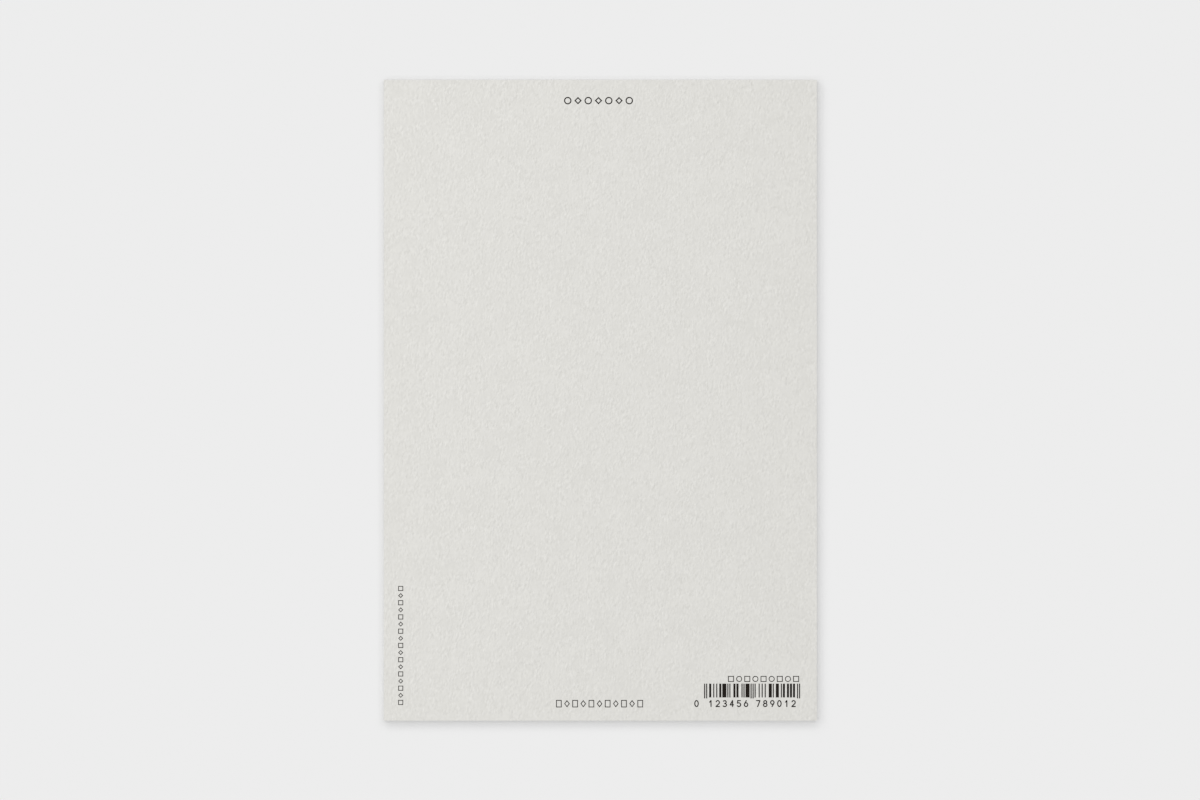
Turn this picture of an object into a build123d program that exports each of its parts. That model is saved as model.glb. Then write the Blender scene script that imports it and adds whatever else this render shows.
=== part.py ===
from build123d import *
import math
import os

# A postcard that lies picture side down, with its printed address side facing up.
# Millimetres. +X runs to the right and +Y to the top of the address side as it is read, +Z up out of it.
# The origin is the centre of the picture side, on the surface that the card lies on.

# Card: one felt-marked liner pasted to each side of a bulky core
CARD_WIDTH = 100.0
CARD_HEIGHT = 148.0
LINER_THICKNESS = 0.11
CORE_THICKNESS = 0.20

# Ink: it soaks this deep into the address side and dries level with the paper
INK_DEPTH = 0.02

# Heading: open rings and open diamonds in turn, below the top edge and a little left of the middle
HEADING_TOP_MARGIN = 3.9
HEADING_LEFT_SHIFT = 0.44
HEADING_MARK_COUNT = 7
HEADING_MARK_SIZE = 1.72
HEADING_MARK_GAP = 0.65
HEADING_STROKE = 0.26

# Foot line: open oblongs and open tall diamonds in turn, above the bottom edge and near the middle
FOOT_BOTTOM_MARGIN = 3.06
FOOT_LEFT_SHIFT = 0.2
FOOT_MARK_COUNT = 11
FOOT_MARK_WIDTH = 1.3
FOOT_MARK_HEIGHT = 1.71
FOOT_MARK_GAP = 0.58
FOOT_STROKE = 0.185

# Side line: open squares and open diamonds in turn, running up from the foot of the left edge
SIDE_LEFT_MARGIN = 3.28
SIDE_BOTTOM_MARGIN = 3.62
SIDE_MARK_COUNT = 17
SIDE_MARK_SIZE = 1.16
SIDE_MARK_GAP = 0.486
SIDE_STROKE = 0.17

# Barcode: twelve counting digits between guard bars, in the lower right corner, its ink spread a little
BARCODE_LEFT_DIGITS = "123456"
BARCODE_RIGHT_DIGITS = "789012"
BARCODE_RIGHT_MARGIN = 3.87
BARCODE_BOTTOM_MARGIN = 5.35
BARCODE_MODULE_WIDTH = 0.2333
BAR_HEIGHT = 3.2
BAR_INK_SPREAD = 0.02
GUARD_BAR_DROP = 0.22
END_GUARD_RUN_COUNT = 3
CENTRE_GUARD_RUN_COUNT = 5

# Small line: open squares and open rings in turn, above the right part of the barcode
SMALL_RIGHT_MARGIN = 4.11
SMALL_LINE_GAP = 0.4
SMALL_MARK_COUNT = 9
SMALL_MARK_SIZE = 1.37
SMALL_MARK_GAP = 0.509
SMALL_STROKE = 0.182

# Run lengths of each barcode digit from 0 to 9, in modules, as gap, bar, gap, bar
DIGIT_RUNS = ("3211", "2221", "2122", "1411", "1132", "1231", "1114", "1312", "1213", "3112")

# Levels of the glue lines and of the address side above the surface that the card lies on
CORE_BOTTOM = LINER_THICKNESS
CORE_TOP = CORE_BOTTOM + CORE_THICKNESS
ADDRESS_SIDE = CORE_TOP + LINER_THICKNESS

# Edges of the card, seen from the address side
LEFT_EDGE = -CARD_WIDTH / 2
RIGHT_EDGE = CARD_WIDTH / 2
BOTTOM_EDGE = -CARD_HEIGHT / 2
TOP_EDGE = CARD_HEIGHT / 2


def ply(bottom, thickness):
    """One sheet of the card, cut to size, with its lower face at the given level."""
    sheet = Rectangle(CARD_WIDTH, CARD_HEIGHT)
    return extrude(Pos(Z=bottom) * sheet, thickness)


def ink(outline):
    """The ink under an outline on the address side, one solid for each mark."""
    return extrude(Pos(Z=ADDRESS_SIDE - INK_DEPTH) * outline, INK_DEPTH)


def ring(diameter, stroke):
    """An open ring, measured over its outside."""
    return Circle(diameter / 2) - Circle(diameter / 2 - stroke)


def open_oblong(width, height, stroke):
    """An open upright oblong, measured over its outside."""
    return Rectangle(width, height) - Rectangle(width - 2 * stroke, height - 2 * stroke)


def diamond(width, height):
    """A solid diamond, measured from corner to corner."""
    return Polygon((width / 2, 0), (0, height / 2), (-width / 2, 0), (0, -height / 2))


def open_diamond(width, height, stroke):
    """An open diamond, measured from corner to corner over its outside."""
    hole = 1 - 2 * stroke * math.hypot(width, height) / (width * height)
    return diamond(width, height) - diamond(width * hole, height * hole)


def width_of(outline):
    """How far an outline reaches along X."""
    return outline.bounding_box().size.X


def row(mark, filler, count, gap):
    """Marks and fillers in turn along X, an even gap apart, from a mark on, centred on the origin."""
    pitch = (width_of(mark) + width_of(filler)) / 2 + gap
    first = -pitch * (count - 1) / 2
    turns = [filler if place % 2 else mark for place in range(count)]
    return Sketch() + [Pos(first + pitch * place) * turn for place, turn in enumerate(turns)]


def heading_print():
    """The row of open marks below the top edge."""
    mark = ring(HEADING_MARK_SIZE, HEADING_STROKE)
    filler = open_diamond(HEADING_MARK_SIZE, HEADING_MARK_SIZE, HEADING_STROKE)
    line = row(mark, filler, HEADING_MARK_COUNT, HEADING_MARK_GAP)
    middle = TOP_EDGE - HEADING_TOP_MARGIN - HEADING_MARK_SIZE / 2
    return ink(Pos(-HEADING_LEFT_SHIFT, middle) * line)


def foot_line_print():
    """The row of tall marks above the bottom edge."""
    mark = open_oblong(FOOT_MARK_WIDTH, FOOT_MARK_HEIGHT, FOOT_STROKE)
    filler = open_diamond(FOOT_MARK_WIDTH, FOOT_MARK_HEIGHT, FOOT_STROKE)
    line = row(mark, filler, FOOT_MARK_COUNT, FOOT_MARK_GAP)
    middle = BOTTOM_EDGE + FOOT_BOTTOM_MARGIN + FOOT_MARK_HEIGHT / 2
    return ink(Pos(-FOOT_LEFT_SHIFT, middle) * line)


def side_line_print():
    """The row of fine marks up the left edge."""
    mark = open_oblong(SIDE_MARK_SIZE, SIDE_MARK_SIZE, SIDE_STROKE)
    filler = open_diamond(SIDE_MARK_SIZE, SIDE_MARK_SIZE, SIDE_STROKE)
    line = row(mark, filler, SIDE_MARK_COUNT, SIDE_MARK_GAP)
    across = LEFT_EDGE + SIDE_LEFT_MARGIN + SIDE_MARK_SIZE / 2
    middle = BOTTOM_EDGE + SIDE_BOTTOM_MARGIN + width_of(line) / 2
    return ink(Pos(across, middle) * Rot(Z=90) * line)


def barcode_runs():
    """Lengths of the bars and gaps in turn, in modules, each with whether it belongs to a guard."""
    left = "".join(DIGIT_RUNS[int(digit)] for digit in BARCODE_LEFT_DIGITS)
    right = "".join(DIGIT_RUNS[int(digit)] for digit in BARCODE_RIGHT_DIGITS)
    end_guard = "1" * END_GUARD_RUN_COUNT
    centre_guard = "1" * CENTRE_GUARD_RUN_COUNT
    runs = []
    for group, in_guard in (
        (end_guard, True),
        (left, False),
        (centre_guard, True),
        (right, False),
        (end_guard, True),
    ):
        runs += [(int(length), in_guard) for length in group]
    return runs


def barcode_bars():
    """The upright bars, of which the guard bars reach a little lower."""
    runs = barcode_runs()
    modules = sum(length for length, in_guard in runs)
    edge = RIGHT_EDGE - BARCODE_RIGHT_MARGIN - modules * BARCODE_MODULE_WIDTH
    top = BOTTOM_EDGE + BARCODE_BOTTOM_MARGIN + BAR_HEIGHT
    bars = []
    for place, (length, in_guard) in enumerate(runs):
        width = length * BARCODE_MODULE_WIDTH
        if place % 2 == 0:
            height = BAR_HEIGHT + GUARD_BAR_DROP if in_guard else BAR_HEIGHT
            bar = Rectangle(width + BAR_INK_SPREAD, height, align=(Align.CENTER, Align.MAX))
            bars.append(Pos(edge + width / 2, top) * bar)
        edge += width
    return ink(Sketch() + bars)


def small_line_print():
    """The row of fine marks above the barcode."""
    mark = open_oblong(SMALL_MARK_SIZE, SMALL_MARK_SIZE, SMALL_STROKE)
    filler = ring(SMALL_MARK_SIZE, SMALL_STROKE)
    line = row(mark, filler, SMALL_MARK_COUNT, SMALL_MARK_GAP)
    across = RIGHT_EDGE - SMALL_RIGHT_MARGIN - width_of(line) / 2
    barcode_top = BOTTOM_EDGE + BARCODE_BOTTOM_MARGIN + BAR_HEIGHT
    middle = barcode_top + SMALL_LINE_GAP + SMALL_MARK_SIZE / 2
    return ink(Pos(across, middle) * line)


prints = {
    "heading_print": heading_print(),
    "foot_line_print": foot_line_print(),
    "side_line_print": side_line_print(),
    "small_line_print": small_line_print(),
    "barcode_bars": barcode_bars(),
}

nodes = {
    "picture_side_ply": ply(0, LINER_THICKNESS),
    "core_ply": ply(CORE_BOTTOM, CORE_THICKNESS),
    "address_side_ply": ply(CORE_TOP, LINER_THICKNESS) - list(prints.values()),
    **prints,
}

os.makedirs("parts", exist_ok=True)
for name, solid in nodes.items():
    export_step(solid, f"parts/{name}.step")
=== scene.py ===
import math

import bmesh
import bpy
import numpy as np
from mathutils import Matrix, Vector
from mathutils.geometry import delaunay_2d_cdt


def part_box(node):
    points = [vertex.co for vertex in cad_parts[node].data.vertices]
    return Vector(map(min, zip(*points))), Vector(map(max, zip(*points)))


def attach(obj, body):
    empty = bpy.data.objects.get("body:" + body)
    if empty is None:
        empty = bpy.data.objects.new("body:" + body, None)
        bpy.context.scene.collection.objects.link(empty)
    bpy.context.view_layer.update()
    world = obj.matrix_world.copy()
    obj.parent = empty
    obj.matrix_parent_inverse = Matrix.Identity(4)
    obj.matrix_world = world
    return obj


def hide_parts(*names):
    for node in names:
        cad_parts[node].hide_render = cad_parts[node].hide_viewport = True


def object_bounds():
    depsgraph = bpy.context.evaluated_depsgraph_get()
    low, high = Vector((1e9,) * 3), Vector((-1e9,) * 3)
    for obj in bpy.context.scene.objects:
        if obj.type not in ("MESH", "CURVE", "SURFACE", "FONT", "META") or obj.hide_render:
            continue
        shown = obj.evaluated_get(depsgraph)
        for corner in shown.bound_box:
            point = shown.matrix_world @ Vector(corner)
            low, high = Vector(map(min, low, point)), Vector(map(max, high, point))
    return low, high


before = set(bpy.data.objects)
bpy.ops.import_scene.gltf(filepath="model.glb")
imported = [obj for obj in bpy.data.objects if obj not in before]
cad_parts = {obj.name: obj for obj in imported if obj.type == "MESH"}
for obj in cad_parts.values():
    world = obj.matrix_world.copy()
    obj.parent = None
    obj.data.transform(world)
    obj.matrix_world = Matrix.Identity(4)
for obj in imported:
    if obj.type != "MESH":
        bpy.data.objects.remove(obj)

cad_low, cad_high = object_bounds()

# A postcard on a pale table, address side up, seen from straight above.
# Metres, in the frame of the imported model.
MM = 0.001

# Edges of the card in the photograph, in pixels of its 1200 x 800 frame
PHOTO_WIDTH = 1200
PHOTO_HEIGHT = 800
CARD_LEFT_PX = 384.0
CARD_RIGHT_PX = 816.8
CARD_TOP_PX = 80.0
CARD_BOTTOM_PX = 720.65

# Camera
LENS_MM = 100
SENSOR_MM = 36

# Felt marks: each layer of the relief has a pitch across, a pitch along and a share of the depth
FELT_DEPTH = 0.022 * MM
FELT_LAYERS = (
    (3.0 * MM, 2.3 * MM, 0.30),
    (1.3 * MM, 1.3 * MM, 0.30),
    (0.6 * MM, 1.1 * MM, 0.40),
)
FELT_SEED = 11
LATTICE = 512

# Outer sheets: the steps of their points across and along, and the angle from which a rim is sharp
ADDRESS_STEP = (0.27 * MM, 0.58 * MM)
PICTURE_STEP = (0.54 * MM, 1.16 * MM)
SHARP_ANGLE = math.radians(45)

# Ink: how far its film stands on the paper and reaches into it, then the steps and joins of its points
INK_FILM = 0.006 * MM
INK_ROOT = 0.004 * MM
INK_STEP = (0.16 * MM, 0.25 * MM)
INK_WELD = 0.002 * MM
SAME_POINT = 0.00001 * MM

# Numbers under the barcode, drawn with a round pen, each group with the module of the bars it starts at
BARCODE_MODULES = 95
DIGIT_MODULES = 7
DIGIT_GROUPS = (("0", -11), ("123456", 3), ("789012", 50))
DIGIT_HEIGHT = 1.62 * MM
DIGIT_WIDTH = 1.04 * MM
DIGIT_STROKE = 0.25 * MM
DIGIT_DROP = 0.38 * MM
ARC_STEP_DEGREES = 15

# Light: an even sky, and low lamps round the table, more of them at the upper left than elsewhere.
# They throw the shadow of the card's upper edge to points of a round patch, set as a sunflower's seeds.
LOW_LIGHT = 0.328
SKY_LIGHT = 1 - LOW_LIGHT
SHADOW_LAMPS = 20
SHADOW_SHIFT = (0.46 * MM, -0.84 * MM)
SHADOW_RADIUS = 2.39 * MM
SHADOW_TURN = math.radians(244)
SHADOW_LAMP_WIDTH = math.radians(4.3)
SEED_TURN = math.pi * (3 - math.sqrt(5))

# Lamp in their place on the card's face, near enough for its light to fall off across the card
LAMP_TOWARDS = Vector((-10, 4, 3.92)).normalized()
LAMP_DISTANCE = 2.2
LAMP_DIAMETER = 0.43

# Table
FLOOR_RADIUS = 3.0
FLOOR_SIDES = 96
FLOOR_COLOUR = (0.846, 0.846, 0.846, 1)

# Felt-marked paper: fine upright fibres, partly painted shade of the felt marks, that stand out in some
# patches and melt into clouds in others.
# Pitches run across, along and through the card, and ranges are of the noise that a change spans.
# The levels hold the noise of the clouds nearer to its middle.
CLOUD_PITCH = (8 * MM, 7 * MM, 8 * MM)
CLOUD_DETAIL = 3
CLOUD_LEVELS = (0.12, 0.88)
# The fibres' light and dark in the colour is partly their own tone and partly painted shade of the felt
# marks, raised fibres lighter and hollows darker as under a low light from the upper left. Their lean
# follows that painted shade.
FIBRE_PITCH = (0.54 * MM, 0.78 * MM, 0.3 * MM)
FIBRE_DETAIL = 1
FIBRE_AND_SHADE_LEAN = math.radians(9)
FIBRE_RELIEF = 0.060 * MM
PATCH_PITCH = (2.2 * MM, 2.2 * MM, 2.2 * MM)
PATCH_DETAIL = 2
PATCH_RANGE = (0.3, 0.6)
PATCH_SHARE = (0.2, 1.0)
PAPER_RANGE = (0.22, 0.78)
PAPER_DARK = (0.683, 0.674, 0.641, 1)
PAPER_LIGHT = (0.777, 0.768, 0.735, 1)
PAPER_ROUGHNESS = (0.96, 0.88)
PAPER_SPECULAR = 0.25

# Bulky core: short fibres that lie flat in the sheet
CORE_PITCH = (0.4 * MM, 0.4 * MM, 0.06 * MM)
CORE_DETAIL = 3
CORE_RELIEF = 0.02 * MM
CORE_RANGE = (0.3, 0.7)
CORE_DARK = (0.690, 0.678, 0.640, 1)
CORE_LIGHT = (0.790, 0.780, 0.745, 1)
CORE_ROUGHNESS = (0.98, 0.92)
CORE_SPECULAR = 0.2

# Look of the ink: fine specks where it has dried thin
SPECK_PITCH = (0.09 * MM, 0.13 * MM, 0.1 * MM)
SPECK_DETAIL = 2
SPECK_RELIEF = 0.004 * MM
SPECK_RANGE = (0.5, 0.78)
INK_DARK = (0.0108, 0.0079, 0.0060, 1)
INK_WORN = (0.036, 0.030, 0.0265, 1)
INK_ROUGHNESS = (0.72, 0.88)
INK_SPECULAR = 0.08


def smooth_noise(x, y, seed):
    """Gradient noise on a lattice of unit squares, from about -0.7 to 0.7, the same on every run."""
    turn = np.random.default_rng(seed).uniform(0, 2 * math.pi, (LATTICE, LATTICE))
    column = np.floor(x).astype(int)
    row = np.floor(y).astype(int)
    across = x - column
    along = y - row

    def corner(right, up):
        angle = turn[(row + up) % LATTICE, (column + right) % LATTICE]
        return np.cos(angle) * (across - right) + np.sin(angle) * (along - up)

    def fade(t):
        return t * t * t * (t * (t * 6 - 15) + 10)

    lower = corner(0, 0) + fade(across) * (corner(1, 0) - corner(0, 0))
    upper = corner(0, 1) + fade(across) * (corner(1, 1) - corner(0, 1))
    return lower + fade(along) * (upper - lower)


def felt_depth(x, y):
    """How far the felt has pressed the paper's face in at points of the card."""
    relief = np.zeros_like(x)
    for layer, (pitch_across, pitch_along, share) in enumerate(FELT_LAYERS):
        relief += share * smooth_noise(x / pitch_across, y / pitch_along, FELT_SEED + layer)
    return np.clip(0.5 - relief, 0, 1) * FELT_DEPTH


def add_piece(name, mesh, slot, material, *nodes):
    """Puts a mesh into the scene as a piece of the card, which stands for the given nodes, if any."""
    piece = bpy.data.objects.new(name, mesh)
    bpy.context.scene.collection.objects.link(piece)
    mesh.materials.append(material)
    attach(piece, "root")
    if nodes:
        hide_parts(*nodes)
    return piece


def smooth_mesh(name, points, polygons):
    """A mesh that is smooth up to its sharp rims."""
    mesh = bpy.data.meshes.new(name)
    mesh.from_pydata(points, [], polygons)
    mesh.shade_smooth()
    mesh.set_sharp_from_angle(angle=SHARP_ANGLE)
    return mesh


def sheet_polygons(number, ring):
    """Faces of a closed sheet: squares between its points, walls round its ring, and a fan behind."""
    squares = [number[:-1, :-1], number[:-1, 1:], number[1:, 1:], number[1:, :-1]]
    quads = np.stack(squares, -1).reshape(-1, 4)
    after = np.roll(ring, -1)
    foot = number.size + np.arange(len(ring))
    foot_after = np.roll(foot, -1)
    walls = np.stack([foot, foot_after, after, ring], -1)
    centre = np.full(len(ring), number.size + len(ring))
    fan = np.stack([foot_after, foot, centre], -1)
    return [*quads.tolist(), *walls.tolist(), *fan.tolist()]


def felt_sheet(name, node, faces_up, step, material):
    """A closed sheet in the place of a ply, with felt marks on its outer face."""
    low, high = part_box(node)
    face, back = (high.z, low.z) if faces_up else (low.z, high.z)
    inwards = -1 if faces_up else 1
    room_for_ink = INK_FILM if faces_up else 0
    columns = round((high.x - low.x) / step[0]) + 1
    rows = round((high.y - low.y) / step[1]) + 1
    x, y = np.meshgrid(np.linspace(low.x, high.x, columns), np.linspace(low.y, high.y, rows))
    z = face + inwards * (room_for_ink + felt_depth(x, y))
    front = np.column_stack([x.ravel(), y.ravel(), z.ravel()])

    number = np.arange(columns * rows).reshape(rows, columns)
    ring = np.concatenate([number[0, :-1], number[:-1, -1], number[-1, :0:-1], number[:0:-1, 0]])
    behind = front[ring].copy()
    behind[:, 2] = back
    centre = [(low.x + high.x) / 2, (low.y + high.y) / 2, back]
    polygons = sheet_polygons(number, ring)
    if not faces_up:
        polygons = [corners[::-1] for corners in polygons]
    mesh = smooth_mesh(name, [*front, *behind, centre], polygons)
    return add_piece(name, mesh, "felt_paper", material, node)


def cut_on_grid(layer, step):
    """Cuts a flat layer along the lines of a grid, so that it can follow the paper."""
    places = np.array([vertex.co for vertex in layer.verts])
    for axis, pitch in enumerate(step):
        normal = Vector((axis == 0, axis == 1, 0))
        first = math.ceil(places[:, axis].min() / pitch)
        last = math.floor(places[:, axis].max() / pitch)
        for line in range(first, last + 1):
            everything = [*layer.verts, *layer.edges, *layer.faces]
            place = normal * line * pitch
            bmesh.ops.bisect_plane(layer, geom=everything, plane_co=place, plane_no=normal, dist=INK_WELD)


def film_polygons(layer):
    """Faces of a film on a flat layer: each of the layer's, its raised copy, and walls round the rim."""
    layer.verts.index_update()
    layer.normal_update()
    rise = len(layer.verts)
    polygons = []
    for face in layer.faces:
        if face.normal.z < 0:
            face.normal_flip()
        corners = [vertex.index for vertex in face.verts]
        polygons.append(corners[::-1])
        polygons.append([corner + rise for corner in corners])
        for loop in face.loops:
            if loop.edge.is_boundary:
                start = loop.vert.index
                end = loop.link_loop_next.vert.index
                polygons.append([start, end, end + rise, start + rise])
    return polygons


def ink_film(name, layer, material, *nodes):
    """A film of ink in the outline of a flat layer, laid over the felt marks of the address side."""
    bmesh.ops.remove_doubles(layer, verts=layer.verts, dist=INK_WELD)
    bmesh.ops.dissolve_degenerate(layer, dist=INK_WELD, edges=layer.edges)
    cut_on_grid(layer, INK_STEP)
    x, y, _ = np.array([vertex.co for vertex in layer.verts]).T
    paper_level = cad_high.z - INK_FILM - felt_depth(x, y)
    under = np.column_stack([x, y, paper_level - INK_ROOT])
    over = np.column_stack([x, y, paper_level + INK_FILM])
    mesh = smooth_mesh(name, [*under, *over], film_polygons(layer))
    layer.free()
    return add_piece(name, mesh, "print_ink", material, *nodes)


def top_layer(node):
    """The upper faces of a node's marks, as a flat layer."""
    low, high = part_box(node)
    layer = bmesh.new()
    layer.from_mesh(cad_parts[node].data)
    lower = [vertex for vertex in layer.verts if vertex.co.z < (low.z + high.z) / 2]
    bmesh.ops.delete(layer, geom=lower, context="VERTS")
    return layer


def covering_layer(outlines):
    """A flat layer that covers all of some outlines, which may overlap."""
    corners = [Vector(point) / MM for outline in outlines for point in outline]
    ends = np.cumsum([len(outline) for outline in outlines])
    faces = [list(range(end - len(outline), end)) for outline, end in zip(outlines, ends)]
    places, _, triangles, _, _, covered = delaunay_2d_cdt(corners, [], faces, 1, SAME_POINT / MM)
    layer = bmesh.new()
    points = [layer.verts.new((place.x * MM, place.y * MM, 0)) for place in places]
    for triangle, outline in zip(triangles, covered):
        if outline:
            layer.faces.new([points[corner] for corner in triangle])
    stray = [point for point in points if not point.link_faces]
    bmesh.ops.delete(layer, geom=stray, context="VERTS")
    return layer


def arc(centre, radii, first, last):
    """Points on part of an ellipse, from the first angle to the last in degrees."""
    count = round(abs(last - first) / ARC_STEP_DEGREES) + 1
    angles = np.radians(np.linspace(first, last, count))
    return [(centre[0] + radii[0] * math.cos(a), centre[1] + radii[1] * math.sin(a)) for a in angles]


def digit_runs():
    """The smooth runs of the pen in each number, in a square of side 1."""
    two_bowl = arc((0.5, 0.69), (0.48, 0.31), 160, -32)
    five_bowl = arc((0.46, 0.31), (0.54, 0.31), 132, -145)
    six_ring = arc((0.5, 0.31), (0.5, 0.31), 150, 510)
    six = [six_ring, [six_ring[0], (0.57, 1)]]
    return {
        "0": [arc((0.5, 0.5), (0.5, 0.5), 0, 360)],
        "1": [[(0.2, 0.74), (0.6, 1)], [(0.6, 1), (0.6, 0)]],
        "2": [two_bowl, [two_bowl[-1], (0, 0)], [(0, 0), (1, 0)]],
        "3": [arc((0.46, 0.75), (0.44, 0.25), 145, -90), arc((0.46, 0.25), (0.54, 0.25), 90, -145)],
        "4": [[(0.7, 0), (0.7, 1)], [(0.7, 1), (0, 0.28)], [(0, 0.28), (1, 0.28)]],
        "5": [[(0.9, 1), (0.13, 1)], [(0.13, 1), five_bowl[0]], five_bowl],
        "6": six,
        "7": [[(0, 1), (1, 1)], [(1, 1), (0.36, 0)]],
        "8": [arc((0.5, 0.76), (0.43, 0.24), 0, 360), arc((0.5, 0.26), (0.5, 0.26), 0, 360)],
        "9": [[(1 - x, 1 - y) for x, y in run] for run in six],
    }


def pen_outlines(run):
    """The outlines that a round pen leaves along a run: one for each step, and one for each end."""
    points = np.array(run)
    steps = np.diff(points, axis=0)
    steps /= np.linalg.norm(steps, axis=1)[:, None]
    before = np.vstack([steps[:1], steps])
    after = np.vstack([steps, steps[-1:]])
    if np.allclose(points[0], points[-1]):
        before[0] = steps[-1]
        after[-1] = steps[0]
    turned = (before + after)[:, ::-1] * (-1, 1)
    square = after[:, ::-1] * (-1, 1)
    aside = turned / np.sum(turned * square, axis=1)[:, None] * DIGIT_STROKE / 2
    left = points + aside
    right = points - aside
    outlines = [[right[k], right[k + 1], left[k + 1], left[k]] for k in range(len(steps))]
    tip = (DIGIT_STROKE / 2, DIGIT_STROKE / 2)
    outlines += [arc(end, tip, 0, 360 - ARC_STEP_DEGREES) for end in (run[0], run[-1])]
    return outlines


def barcode_digits(material):
    """The row of numbers at the barcode: the first left of its bars, and the others below their own."""
    low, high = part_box("barcode_bars")
    module = (high.x - low.x) / BARCODE_MODULES
    width = DIGIT_WIDTH - DIGIT_STROKE
    height = DIGIT_HEIGHT - DIGIT_STROKE
    foot = low.y - DIGIT_DROP - DIGIT_HEIGHT + DIGIT_STROKE / 2
    runs = digit_runs()
    outlines = []
    for digits, start in DIGIT_GROUPS:
        for place, digit in enumerate(digits):
            left = low.x + (start + DIGIT_MODULES * (place + 0.5)) * module - width / 2
            for run in runs[digit]:
                outlines += pen_outlines([(left + x * width, foot + y * height) for x, y in run])
    return ink_film("barcode_digits", covering_layer(outlines), material)


def new_material(name, specular):
    """A material, with its node tree and its shader."""
    material = bpy.data.materials.new(name)
    material.use_nodes = True
    tree = material.node_tree
    shader = tree.nodes["Principled BSDF"]
    shader.inputs["Specular IOR Level"].default_value = specular
    return material, tree, shader


def noise_node(tree, pitch, detail, lean=0):
    """Noise with a pitch along each axis, turned clockwise by its lean, as the output of its values."""
    place = tree.nodes.new("ShaderNodeTexCoord").outputs["Object"]
    mapping = tree.nodes.new("ShaderNodeMapping")
    mapping.vector_type = "TEXTURE"
    mapping.inputs["Scale"].default_value = pitch
    mapping.inputs["Rotation"].default_value = (0, 0, -lean)
    tree.links.new(place, mapping.inputs["Vector"])
    noise = tree.nodes.new("ShaderNodeTexNoise")
    noise.inputs["Scale"].default_value = 1
    noise.inputs["Detail"].default_value = detail
    tree.links.new(mapping.outputs["Vector"], noise.inputs["Vector"])
    return noise.outputs["Fac"]


def number_between(tree, value, span, first, second):
    """A number that goes from the first to the second as a value goes through a span."""
    scale = tree.nodes.new("ShaderNodeMapRange")
    scale.inputs["From Min"].default_value = span[0]
    scale.inputs["From Max"].default_value = span[1]
    scale.inputs["To Min"].default_value = first
    scale.inputs["To Max"].default_value = second
    tree.links.new(value, scale.inputs["Value"])
    return scale.outputs["Result"]


def colour_between(tree, value, span, first, second):
    """A colour that goes from the first to the second as a value goes through a span."""
    ramp = tree.nodes.new("ShaderNodeValToRGB")
    for element, position, colour in zip(ramp.color_ramp.elements, span, (first, second)):
        element.position = position
        element.color = colour
    tree.links.new(value, ramp.inputs["Fac"])
    return ramp.outputs["Color"]


def finish_surface(tree, shader, value, span, colours, roughness, relief):
    """Gives a shader its colour, its roughness and its fine relief, all from one pattern."""
    tree.links.new(colour_between(tree, value, span, *colours), shader.inputs["Base Color"])
    tree.links.new(number_between(tree, value, span, *roughness), shader.inputs["Roughness"])
    bump = tree.nodes.new("ShaderNodeBump")
    bump.inputs["Strength"].default_value = 1
    bump.inputs["Distance"].default_value = relief
    tree.links.new(value, bump.inputs["Height"])
    tree.links.new(bump.outputs["Normal"], shader.inputs["Normal"])


def felt_paper():
    """Uncoated off-white paper, a little cloudy, with fine upright fibres whose light and dark in the
    colour is partly painted shade.
    """
    material, tree, shader = new_material("felt_paper", PAPER_SPECULAR)
    cloud = noise_node(tree, CLOUD_PITCH, CLOUD_DETAIL)
    fibre = noise_node(tree, FIBRE_PITCH, FIBRE_DETAIL, FIBRE_AND_SHADE_LEAN)
    patch = noise_node(tree, PATCH_PITCH, PATCH_DETAIL)
    blend = tree.nodes.new("ShaderNodeMix")
    tree.links.new(number_between(tree, patch, PATCH_RANGE, *PATCH_SHARE), blend.inputs["Factor"])
    tree.links.new(number_between(tree, cloud, (0, 1), *CLOUD_LEVELS), blend.inputs["A"])
    tree.links.new(fibre, blend.inputs["B"])
    # The fibres' share of this colour is partly painted shade: raised fibres lighter, hollows darker, as
    # under a low light from the upper left.
    colours = (PAPER_DARK, PAPER_LIGHT)
    surface = blend.outputs["Result"]
    finish_surface(tree, shader, surface, PAPER_RANGE, colours, PAPER_ROUGHNESS, FIBRE_RELIEF)
    return material


def core_paper():
    """The bulky middle of the card, whose fibres show at the cut edges."""
    material, tree, shader = new_material("core_paper", CORE_SPECULAR)
    fibre = noise_node(tree, CORE_PITCH, CORE_DETAIL)
    colours = (CORE_DARK, CORE_LIGHT)
    finish_surface(tree, shader, fibre, CORE_RANGE, colours, CORE_ROUGHNESS, CORE_RELIEF)
    return material


def print_ink():
    """Matt dark ink with fine specks where it has dried thin."""
    material, tree, shader = new_material("print_ink", INK_SPECULAR)
    speck = noise_node(tree, SPECK_PITCH, SPECK_DETAIL)
    colours = (INK_DARK, INK_WORN)
    finish_surface(tree, shader, speck, SPECK_RANGE, colours, INK_ROUGHNESS, SPECK_RELIEF)
    return material


def floor_paint():
    """The dead flat paint of the table."""
    material, _, shader = new_material("floor", 0)
    shader.inputs["Roughness"].default_value = 1
    shader.inputs["Base Color"].default_value = FLOOR_COLOUR
    return material


def make_floor():
    """A wide disc under the card."""
    shape = bmesh.new()
    bmesh.ops.create_circle(shape, cap_ends=True, segments=FLOOR_SIDES, radius=FLOOR_RADIUS)
    mesh = bpy.data.meshes.new("floor")
    shape.to_mesh(mesh)
    shape.free()
    mesh.materials.append(floor_paint())
    floor = bpy.data.objects.new("floor", mesh)
    floor.location.z = cad_low.z
    bpy.context.scene.collection.objects.link(floor)
    return floor


def add_lamp(name, kind, share, towards, lit):
    """A lamp that gives the objects it shines on a share of the light on a level surface."""
    lamp = bpy.data.objects.new(name, bpy.data.lights.new(name, kind))
    lamp.location = towards * LAMP_DISTANCE
    lamp.rotation_euler = towards.to_track_quat("Z", "Y").to_euler()
    lamp.visible_camera = False
    lamp.data.energy = math.pi * share / towards.z
    lamp.light_linking.receiver_collection = lit
    bpy.context.scene.collection.objects.link(lamp)
    return lamp.data


def lit_objects(name, objects):
    """A collection of the objects that some lamps shine on."""
    lit = bpy.data.collections.new(name)
    for thing in objects:
        lit.objects.link(thing)
    return lit


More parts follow.
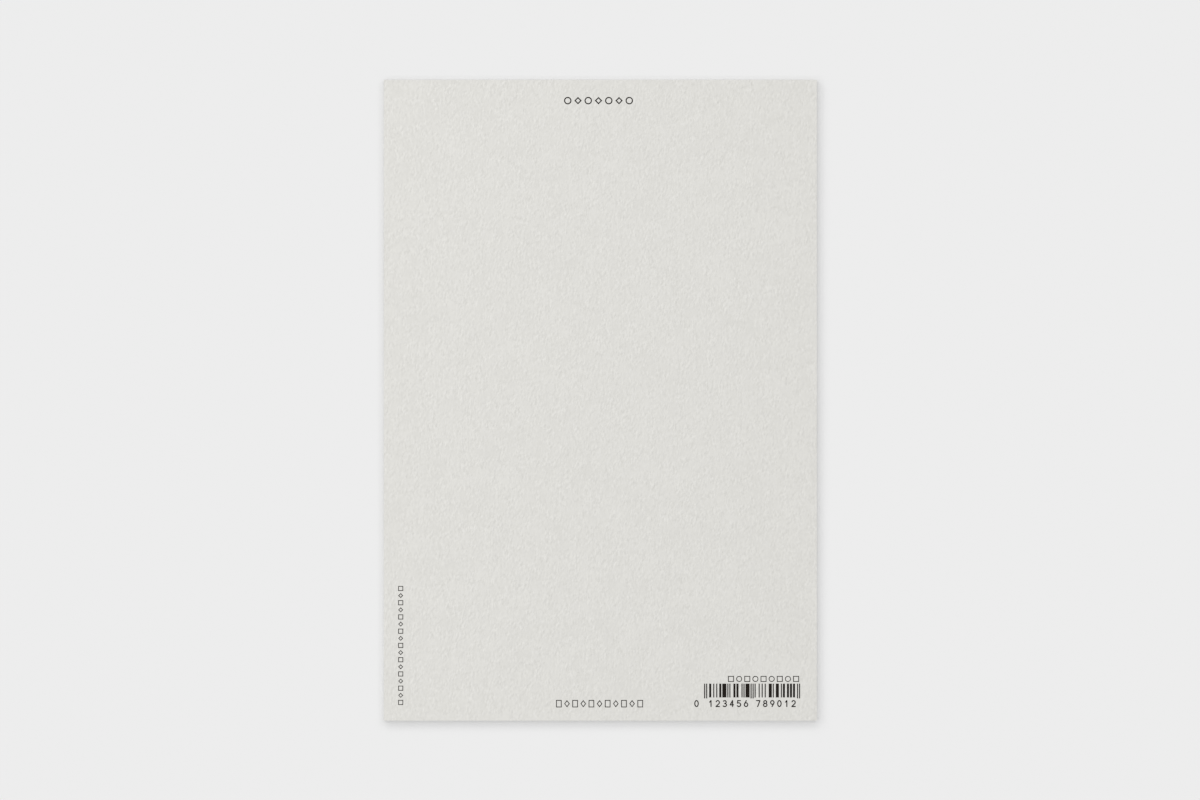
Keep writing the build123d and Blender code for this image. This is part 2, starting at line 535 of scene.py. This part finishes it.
def shadow_lamp_directions():
    """The way to each low lamp, worked out from where it throws the shadow of the card's upper edge."""
    thickness = cad_high.z - cad_low.z
    directions = []
    for seed in range(SHADOW_LAMPS):
        reach = SHADOW_RADIUS * math.sqrt((seed + 0.5) / SHADOW_LAMPS)
        turn = SHADOW_TURN + SEED_TURN * seed
        thrown_x = SHADOW_SHIFT[0] + reach * math.cos(turn)
        thrown_y = SHADOW_SHIFT[1] + reach * math.sin(turn)
        directions.append(Vector((-thrown_x, -thrown_y, thickness)).normalized())
    return directions


def make_lights(floor, face):
    """Low lamps that throw the card's shadow on the table, and one lamp in their place on its face."""
    table = lit_objects("lit_table", [floor])
    for place, towards in enumerate(shadow_lamp_directions()):
        lamp = add_lamp(f"shadow_lamp_{place}", "SUN", LOW_LIGHT / SHADOW_LAMPS, towards, table)
        lamp.angle = SHADOW_LAMP_WIDTH
    lamp = add_lamp("face_lamp", "AREA", LOW_LIGHT, LAMP_TOWARDS, lit_objects("lit_face", face))
    lamp.shape = "DISK"
    lamp.size = LAMP_DIAMETER
    lamp.energy *= math.pi * LAMP_DISTANCE**2


def make_sky():
    """An even sky that lights everything, and a backdrop in the table's colour where it is seen."""
    world = bpy.data.worlds.new("sky")
    world.use_nodes = True
    bpy.context.scene.world = world
    tree = world.node_tree
    sky = tree.nodes["Background"]
    sky.inputs["Color"].default_value = (1, 1, 1, 1)
    sky.inputs["Strength"].default_value = SKY_LIGHT
    backdrop = tree.nodes.new("ShaderNodeBackground")
    backdrop.inputs["Color"].default_value = FLOOR_COLOUR
    mix = tree.nodes.new("ShaderNodeMixShader")
    path = tree.nodes.new("ShaderNodeLightPath")
    seen = path.outputs["Is Camera Ray"]
    for also in ("Is Glossy Ray", "Is Transmission Ray"):
        either = tree.nodes.new("ShaderNodeMath")
        either.operation = "MAXIMUM"
        tree.links.new(seen, either.inputs[0])
        tree.links.new(path.outputs[also], either.inputs[1])
        seen = either.outputs["Value"]
    tree.links.new(seen, mix.inputs["Fac"])
    tree.links.new(sky.outputs["Background"], mix.inputs[1])
    tree.links.new(backdrop.outputs["Background"], mix.inputs[2])
    tree.links.new(mix.outputs["Shader"], tree.nodes["World Output"].inputs["Surface"])


def make_camera():
    """A camera straight above the card, with the photograph's framing."""
    across = (cad_high.x - cad_low.x) / (CARD_RIGHT_PX - CARD_LEFT_PX)
    along = (cad_high.y - cad_low.y) / (CARD_BOTTOM_PX - CARD_TOP_PX)
    pixel = (across + along) / 2
    camera = bpy.data.objects.new("camera", bpy.data.cameras.new("camera"))
    camera.data.lens = LENS_MM
    camera.data.sensor_width = SENSOR_MM
    centre = (cad_low + cad_high) / 2
    camera.location = (
        centre.x + (PHOTO_WIDTH - CARD_LEFT_PX - CARD_RIGHT_PX) / 2 * pixel,
        centre.y - (PHOTO_HEIGHT - CARD_TOP_PX - CARD_BOTTOM_PX) / 2 * pixel,
        cad_high.z + PHOTO_WIDTH * pixel * LENS_MM / SENSOR_MM,
    )
    bpy.context.scene.collection.objects.link(camera)
    bpy.context.scene.camera = camera


paper = felt_paper()
ink = print_ink()
felt_sheet("picture_sheet", "picture_side_ply", False, PICTURE_STEP, paper)
face = [
    felt_sheet("address_sheet", "address_side_ply", True, ADDRESS_STEP, paper),
    barcode_digits(ink),
]
for node in ("heading_print", "side_line_print", "foot_line_print", "small_line_print", "barcode_bars"):
    face.append(ink_film(node + "_film", top_layer(node), ink, node))

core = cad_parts["core_ply"]
core.data.materials.clear()
core.data.materials.append(core_paper())

make_lights(make_floor(), face)
make_sky()
make_camera()
bpy.context.scene.view_settings.view_transform = "Standard"
